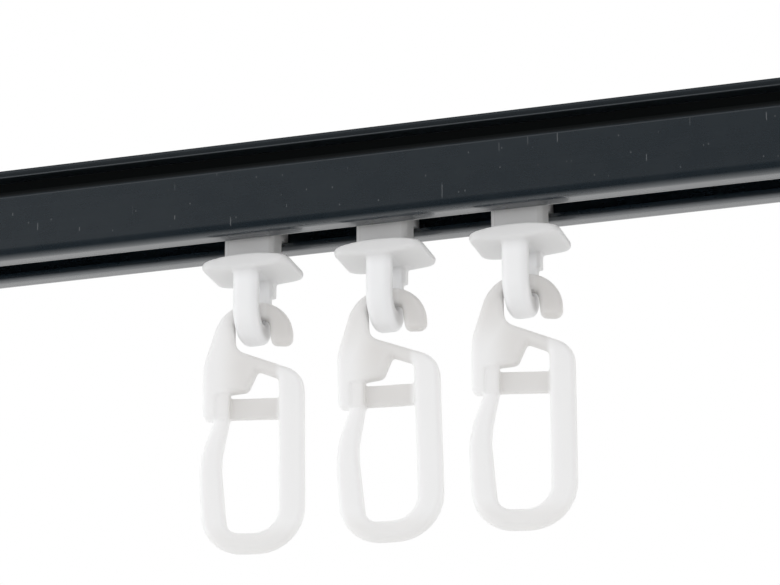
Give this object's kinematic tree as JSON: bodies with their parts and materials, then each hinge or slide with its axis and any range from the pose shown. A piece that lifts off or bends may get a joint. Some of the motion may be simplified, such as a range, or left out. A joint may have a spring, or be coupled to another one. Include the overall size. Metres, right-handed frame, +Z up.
{
  "type": "curtain track",
  "caption": "Ceiling curtain track: a dark slotted aluminium rail with capped ends, white gliders running in the slot and a white plastic pleat hook hanging in each glider's eye.",
  "frame": {"origin": "middle of the rail's flat top face, which lies against the ceiling", "axes": "+X along the rail, -Y towards the room, +Z up into the ceiling"},
  "size_m": [0.203, 0.0148, 0.0674],
  "materials": {
    "rail_coat": "aluminium extrusion with a satin anthracite coat, lightly scratched",
    "cap_plastic": "matt black moulding",
    "glider_plastic": "smooth white moulding, slightly translucent",
    "hook_plastic": "smooth white moulding, slightly translucent"
  },
  "bodies": {
    "track": {"rail": "rail_coat", "end_cap_left": "cap_plastic", "end_cap_right": "cap_plastic"},
    "glider_left": {"glider_left": "glider_plastic"},
    "hook_left": {"hook_left": "hook_plastic"},
    "glider_middle": {"glider_middle": "glider_plastic"},
    "hook_middle": {"hook_middle": "hook_plastic"},
    "glider_right": {"glider_right": "glider_plastic"},
    "hook_right": {"hook_right": "hook_plastic"}
  },
  "joints": [
    {"name": "glider_left_slide", "type": "slide", "parent": "track", "child": "glider_left", "axis": [1, 0, 0], "range_m": [-0.0667, 0.0028]},
    {"name": "hook_left_swing", "type": "hinge", "parent": "glider_left", "child": "hook_left", "pos_m": [-0.0225, 0, -0.0267], "axis": [1, 0, 0], "range_deg": [-60, 60]},
    {"name": "glider_middle_slide", "type": "slide", "parent": "track", "child": "glider_middle", "axis": [1, 0, 0], "range_m": [-0.0028, 0.0021]},
    {"name": "hook_middle_swing", "type": "hinge", "parent": "glider_middle", "child": "hook_middle", "pos_m": [0, 0, -0.0267], "axis": [1, 0, 0], "range_deg": [-60, 60]},
    {"name": "glider_right_slide", "type": "slide", "parent": "track", "child": "glider_right", "axis": [1, 0, 0], "range_m": [-0.0021, 0.0667]},
    {"name": "hook_right_swing", "type": "hinge", "parent": "glider_right", "child": "hook_right", "pos_m": [0.0225, 0, -0.0267], "axis": [1, 0, 0], "range_deg": [-60, 60]}
  ]
}
